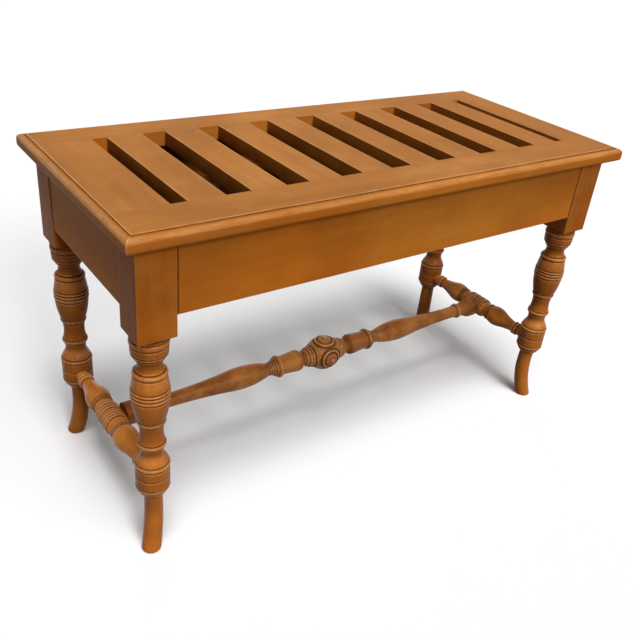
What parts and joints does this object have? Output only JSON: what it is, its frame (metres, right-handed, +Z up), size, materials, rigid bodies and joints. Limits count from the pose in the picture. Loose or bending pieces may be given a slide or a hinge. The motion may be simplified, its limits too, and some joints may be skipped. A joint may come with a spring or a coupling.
{
  "type": "luggage rack",
  "caption": "Low wooden bench-form luggage rack: slatted top with moulded edge, plain aprons, turned legs with swept feet and turned H stretchers.",
  "frame": {"origin": "on the floor under the middle of the top", "axes": "+X along the rack to its right end as seen from the front, +Y from the front to the back, +Z up"},
  "size_m": [0.8, 0.35, 0.472],
  "materials": {
    "top_wood": "satin varnish",
    "apron_wood": "satin varnish",
    "leg_wood": "satin varnish",
    "stretcher_wood": "satin varnish",
    "block_wood": "bare",
    "screw_steel": "dull"
  },
  "bodies": {
    "root": {"top_front_rail": "top_wood", "top_back_rail": "top_wood", "top_left_end": "top_wood", "top_right_end": "top_wood", "slat_1": "top_wood", "slat_2": "top_wood", "slat_3": "top_wood", "slat_4": "top_wood", "slat_5": "top_wood", "slat_6": "top_wood", "slat_7": "top_wood", "slat_8": "top_wood", "leg_front_left": "leg_wood", "leg_front_right": "leg_wood", "leg_back_left": "leg_wood", "leg_back_right": "leg_wood", "apron_front": "apron_wood", "apron_back": "apron_wood", "apron_left": "apron_wood", "apron_right": "apron_wood", "stretcher_left": "stretcher_wood", "stretcher_right": "stretcher_wood", "stretcher_centre": "stretcher_wood", "glue_block_front_left": "block_wood", "glue_block_front_right": "block_wood", "glue_block_back_left": "block_wood", "glue_block_back_right": "block_wood", "glue_block_left_front": "block_wood", "glue_block_left_back": "block_wood", "glue_block_right_front": "block_wood", "glue_block_right_back": "block_wood", "top_screws": "screw_steel"}
  },
  "joints": []
}
